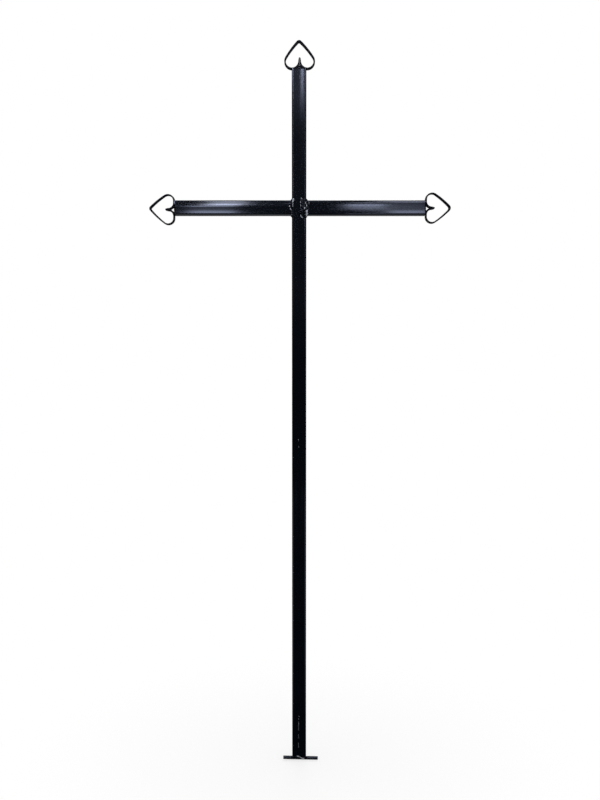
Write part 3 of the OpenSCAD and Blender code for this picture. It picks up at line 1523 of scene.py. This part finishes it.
@dataclass
class Studio:
    """White floor and surround, three soft lamps, a dark tent of cards and the camera. Metres."""

    floor_half: float = 30.0
    # Share of the floor's own white at the object and away from it, and where it changes
    floor_white: Point = (0.72, 1.0)
    floor_change: Point = (0.1, 0.9)
    fill: float = 0.8
    tent_half: float = 1.5
    tent_front: float = -4.3
    tent_back: float = 2.5
    tent_top: float = 7.0
    # The lit wings at both sides: x and y of their near and far edge, and their heights
    wing_near: Point = (1.45, -0.8)
    wing_far: Point = (0.8, -2.2)
    wing_level: Point = (2.36, 3.6)
    # The dim cards on the floor at both sides: least x, greatest y, and their glow
    floor_card_x: float = 0.22
    floor_card_y: float = -0.05
    floor_card_glow: float = 0.6
    camera_place: Triple = (0.0025, -2.720, 1.284)
    pitch_deg: float = 5.0
    lens_mm: float = 43.6
    long_side_mm: float = 36.0
    view_end: float = 100.0
    lamps: tuple[SoftBox, ...] = (
        SoftBox("left_soft_box", (-0.53, -4.0, 3.15), (0, 0, 1.8), 0.26, 1.3, 10.0),
        SoftBox("right_soft_box", (0.75, -4.0, 3.2), (0, 0, 1.8), 0.4, 1.4, 6.0),
        SoftBox("back_soft_box", (0.0, 3.4, 3.9), (0, 0, 1.2), 1.6, 0.9, 6.0),
    )

    @staticmethod
    def seen(tree: NodeTree) -> NodeSocket:
        """Gives 1 for what the camera, gloss and glass see, and 0 for light that bounces.

        Args:
            tree: Shader or world tree.

        Returns:
            The value.
        """
        rays = add_node(tree, "ShaderNodeLightPath").outputs
        direct = operate(tree, "MAXIMUM", rays["Is Camera Ray"], rays["Is Glossy Ray"])
        return operate(tree, "MAXIMUM", direct, rays["Is Transmission Ray"])

    def build_world(self) -> None:
        """Makes the surround white to look at, and a gentle fill as light."""
        world = bpy.data.worlds.new("surround")
        bpy.context.scene.world = world
        world.use_nodes = True
        tree = world.node_tree
        tree.nodes.clear()
        level = ramp(tree, self.seen(tree), (0.0, 1.0), (self.fill, 1.0))
        glow = add_node(tree, "ShaderNodeBackground", color=srgb("#ffffff"), strength=level)
        add_node(tree, "ShaderNodeOutputWorld", surface=glow.outputs[0])

    def build_floor(self) -> Object:
        """Makes the white floor, which keeps the object's shadow and fades into the surround.

        Returns:
            The floor, staged.
        """
        h = self.floor_half
        corners = [Vector((x, y, 0)) for x, y in ((-h, -h), (h, -h), (h, h), (-h, h))]
        floor = piece_from("floor", corners, [[0, 1, 2, 3]])
        made, tree = new_material("white_studio_floor")
        place = add_node(tree, "ShaderNodeTexCoord").outputs["Object"]
        far = add_node(tree, "ShaderNodeVectorMath", {"operation": "LENGTH"}, in_0=place)
        # The floor's own white rises to all of it a step away from the object
        own = ramp(tree, far.outputs["Value"], self.floor_change, self.floor_white, "SMOOTHSTEP")
        matt = add_node(tree, "ShaderNodeBsdfDiffuse", color=srgb("#fafafa"))
        glow = add_node(tree, "ShaderNodeEmission", color=srgb("#ffffff"))
        mixed = add_node(
            tree,
            "ShaderNodeMixShader",
            in_0=operate(tree, "MULTIPLY", own, self.seen(tree)),
            in_1=matt.outputs[0],
            in_2=glow.outputs[0],
        )
        add_node(tree, "ShaderNodeOutputMaterial", surface=mixed.outputs[0])
        floor.data.materials.append(made)
        return floor

    def cards(self) -> list[Card]:
        """Gives the dark tent and the lit cards in it.

        Returns:
            The cards.
        """
        wide, front, back, top = self.tent_half, self.tent_front, self.tent_back, self.tent_top
        upright = Card.upright
        made = [
            Card.flat("floor_cloth", (-wide, wide, front, back), 0.002),
            upright("left_wall", (-wide, front), (-wide, back), (0, top)),
            upright("right_wall", (wide, front), (wide, back), (0, top)),
        ]
        for side, way, glow in (("left", -1, 12.0), ("right", 1, 5.0)):
            near, far = ((way * x, y) for x, y in (self.wing_near, self.wing_far))
            made.append(upright(f"{side}_wing", near, far, self.wing_level, glow))
            edges = (way * self.floor_card_x, way * wide, front, self.floor_card_y)
            made.append(Card.flat(f"{side}_floor_card", edges, 0.003, self.floor_card_glow))
        # Name, sides, distance along Y, lower and upper edge, and glow
        for name, (left, right), y, z, *glow in (
            ("back_wall", (-wide, wide), back, (0, 3.1), 0.12),
            ("front_wall", (-wide, wide), front, (0, top), 0.01, 0.08, (0.8, 1.5)),
            ("left_reflector", (-0.77, -0.45), -4.1, (1.3, 2.5), 1.0, 7.3, (2.07, 2.2)),
            ("left_core", (-0.62, -0.43), -4.05, (2.8, 3.1), 22.0),
            ("right_reflector", (0.38, 0.88), -4.1, (1.3, 2.2), 1.1, 1.3, (1.8, 2.1)),
            ("right_band", (0.62, 0.9), -4.08, (2.1, 2.5), 6.0),
            ("right_window", (0.32, 0.58), -4.05, (1.91, 2.02), 10.5),
            ("top_reflector", (-0.24, -0.07), -4.1, (2.5, 3.6), 0.15, 1.8, (2.58, 2.8)),
            ("top_wash", (-0.07, 0.26), -4.12, (2.5, 3.6), 0.1, 0.65, (2.5, 2.9)),
            # Flags that keep the reflectors over the post out of the left arm
            ("arm_flag", (-0.14, -0.02), -1.0, (1.8, 1.985), 0.15),
            ("post_flag", (-0.14, -0.056), -1.0, (1.985, 2.6), 0.15),
            ("top_strip", (-0.205, -0.165), -4.05, (2.68, 3.4), 1.0, 22.0, (2.7, 3.0)),
        ):
            made.append(upright(name, (left, y), (right, y), z, *glow))
        return made

    def build_camera(self) -> None:
        """Sets the camera, looking slightly down from in front."""
        data = bpy.data.cameras.new("camera")
        data.sensor_width = self.long_side_mm
        data.lens = self.lens_mm
        data.clip_end = self.view_end
        camera = bpy.data.objects.new("camera", data)
        camera.location = self.camera_place
        camera.rotation_euler = (math.radians(90 - self.pitch_deg), 0, 0)
        bpy.context.scene.collection.objects.link(camera)
        bpy.context.scene.camera = camera

    def build(self) -> None:
        """Sets up the whole studio."""
        self.build_world()
        self.build_floor()
        for lamp in self.lamps:
            lamp.build()
        for card in self.cards():
            card.build()
        self.build_camera()
        bpy.context.scene.view_settings.view_transform = "Standard"


def main() -> None:
    """Builds the studio, then the cross piece by piece."""
    logging.basicConfig(level=logging.INFO, format="%(name)s: %(message)s")
    Studio().build()
    paints = Paints()
    arm = {"hollow": 0.28, "hollow_power": 3.0, "edge_power": 1.0}
    soft_arm = RoundSquare(**arm, upper_hollow=0.0, shoulder=14.5, shoulder_drop=1.7)
    crisp_arm = RoundSquare(**arm, shoulder=2.5, shoulder_drop=0.3)
    for node, along_x, section, seed in (
        ("post", False, RoundSquare(), 1.0),
        ("left_arm", True, soft_arm, 2.0),
        ("right_arm", True, crisp_arm, 3.0),
    ):
        Tube(node, along_x, seed=seed, section=section).build(paints)
        CapPlate(f"{node}_cap", along_x, section=section).build(paints)
    for heart in (
        StripHeart("top_heart", Facing.UP, 21.5, 8.5, -1.5, 31.0, seed=0.0),
        StripHeart("left_heart", Facing.LEFT, 18.5, 8.0, 2.5, 26.0, seed=4.0),
        StripHeart("right_heart", Facing.RIGHT, 18.5, 11.0, 0.0, 26.0, seed=8.0),
    ):
        heart.build(paints)
    welder = Welder()
    ArmWeld("left_arm_weld", -1, LEFT_RUNS, LEFT_HIGHLIGHT_LUMPS).build(welder, paints)
    ArmWeld("right_arm_weld", 1, RIGHT_RUNS, RIGHT_HIGHLIGHT_LUMPS).build(welder, paints)
    HeartSeats().build(welder, paints)
    FootRod().build(welder.row, paints)
    FootWeld().build(welder, paints)
    PaintRuns().build(welder, paints)


if __name__ == "__main__":
    main()
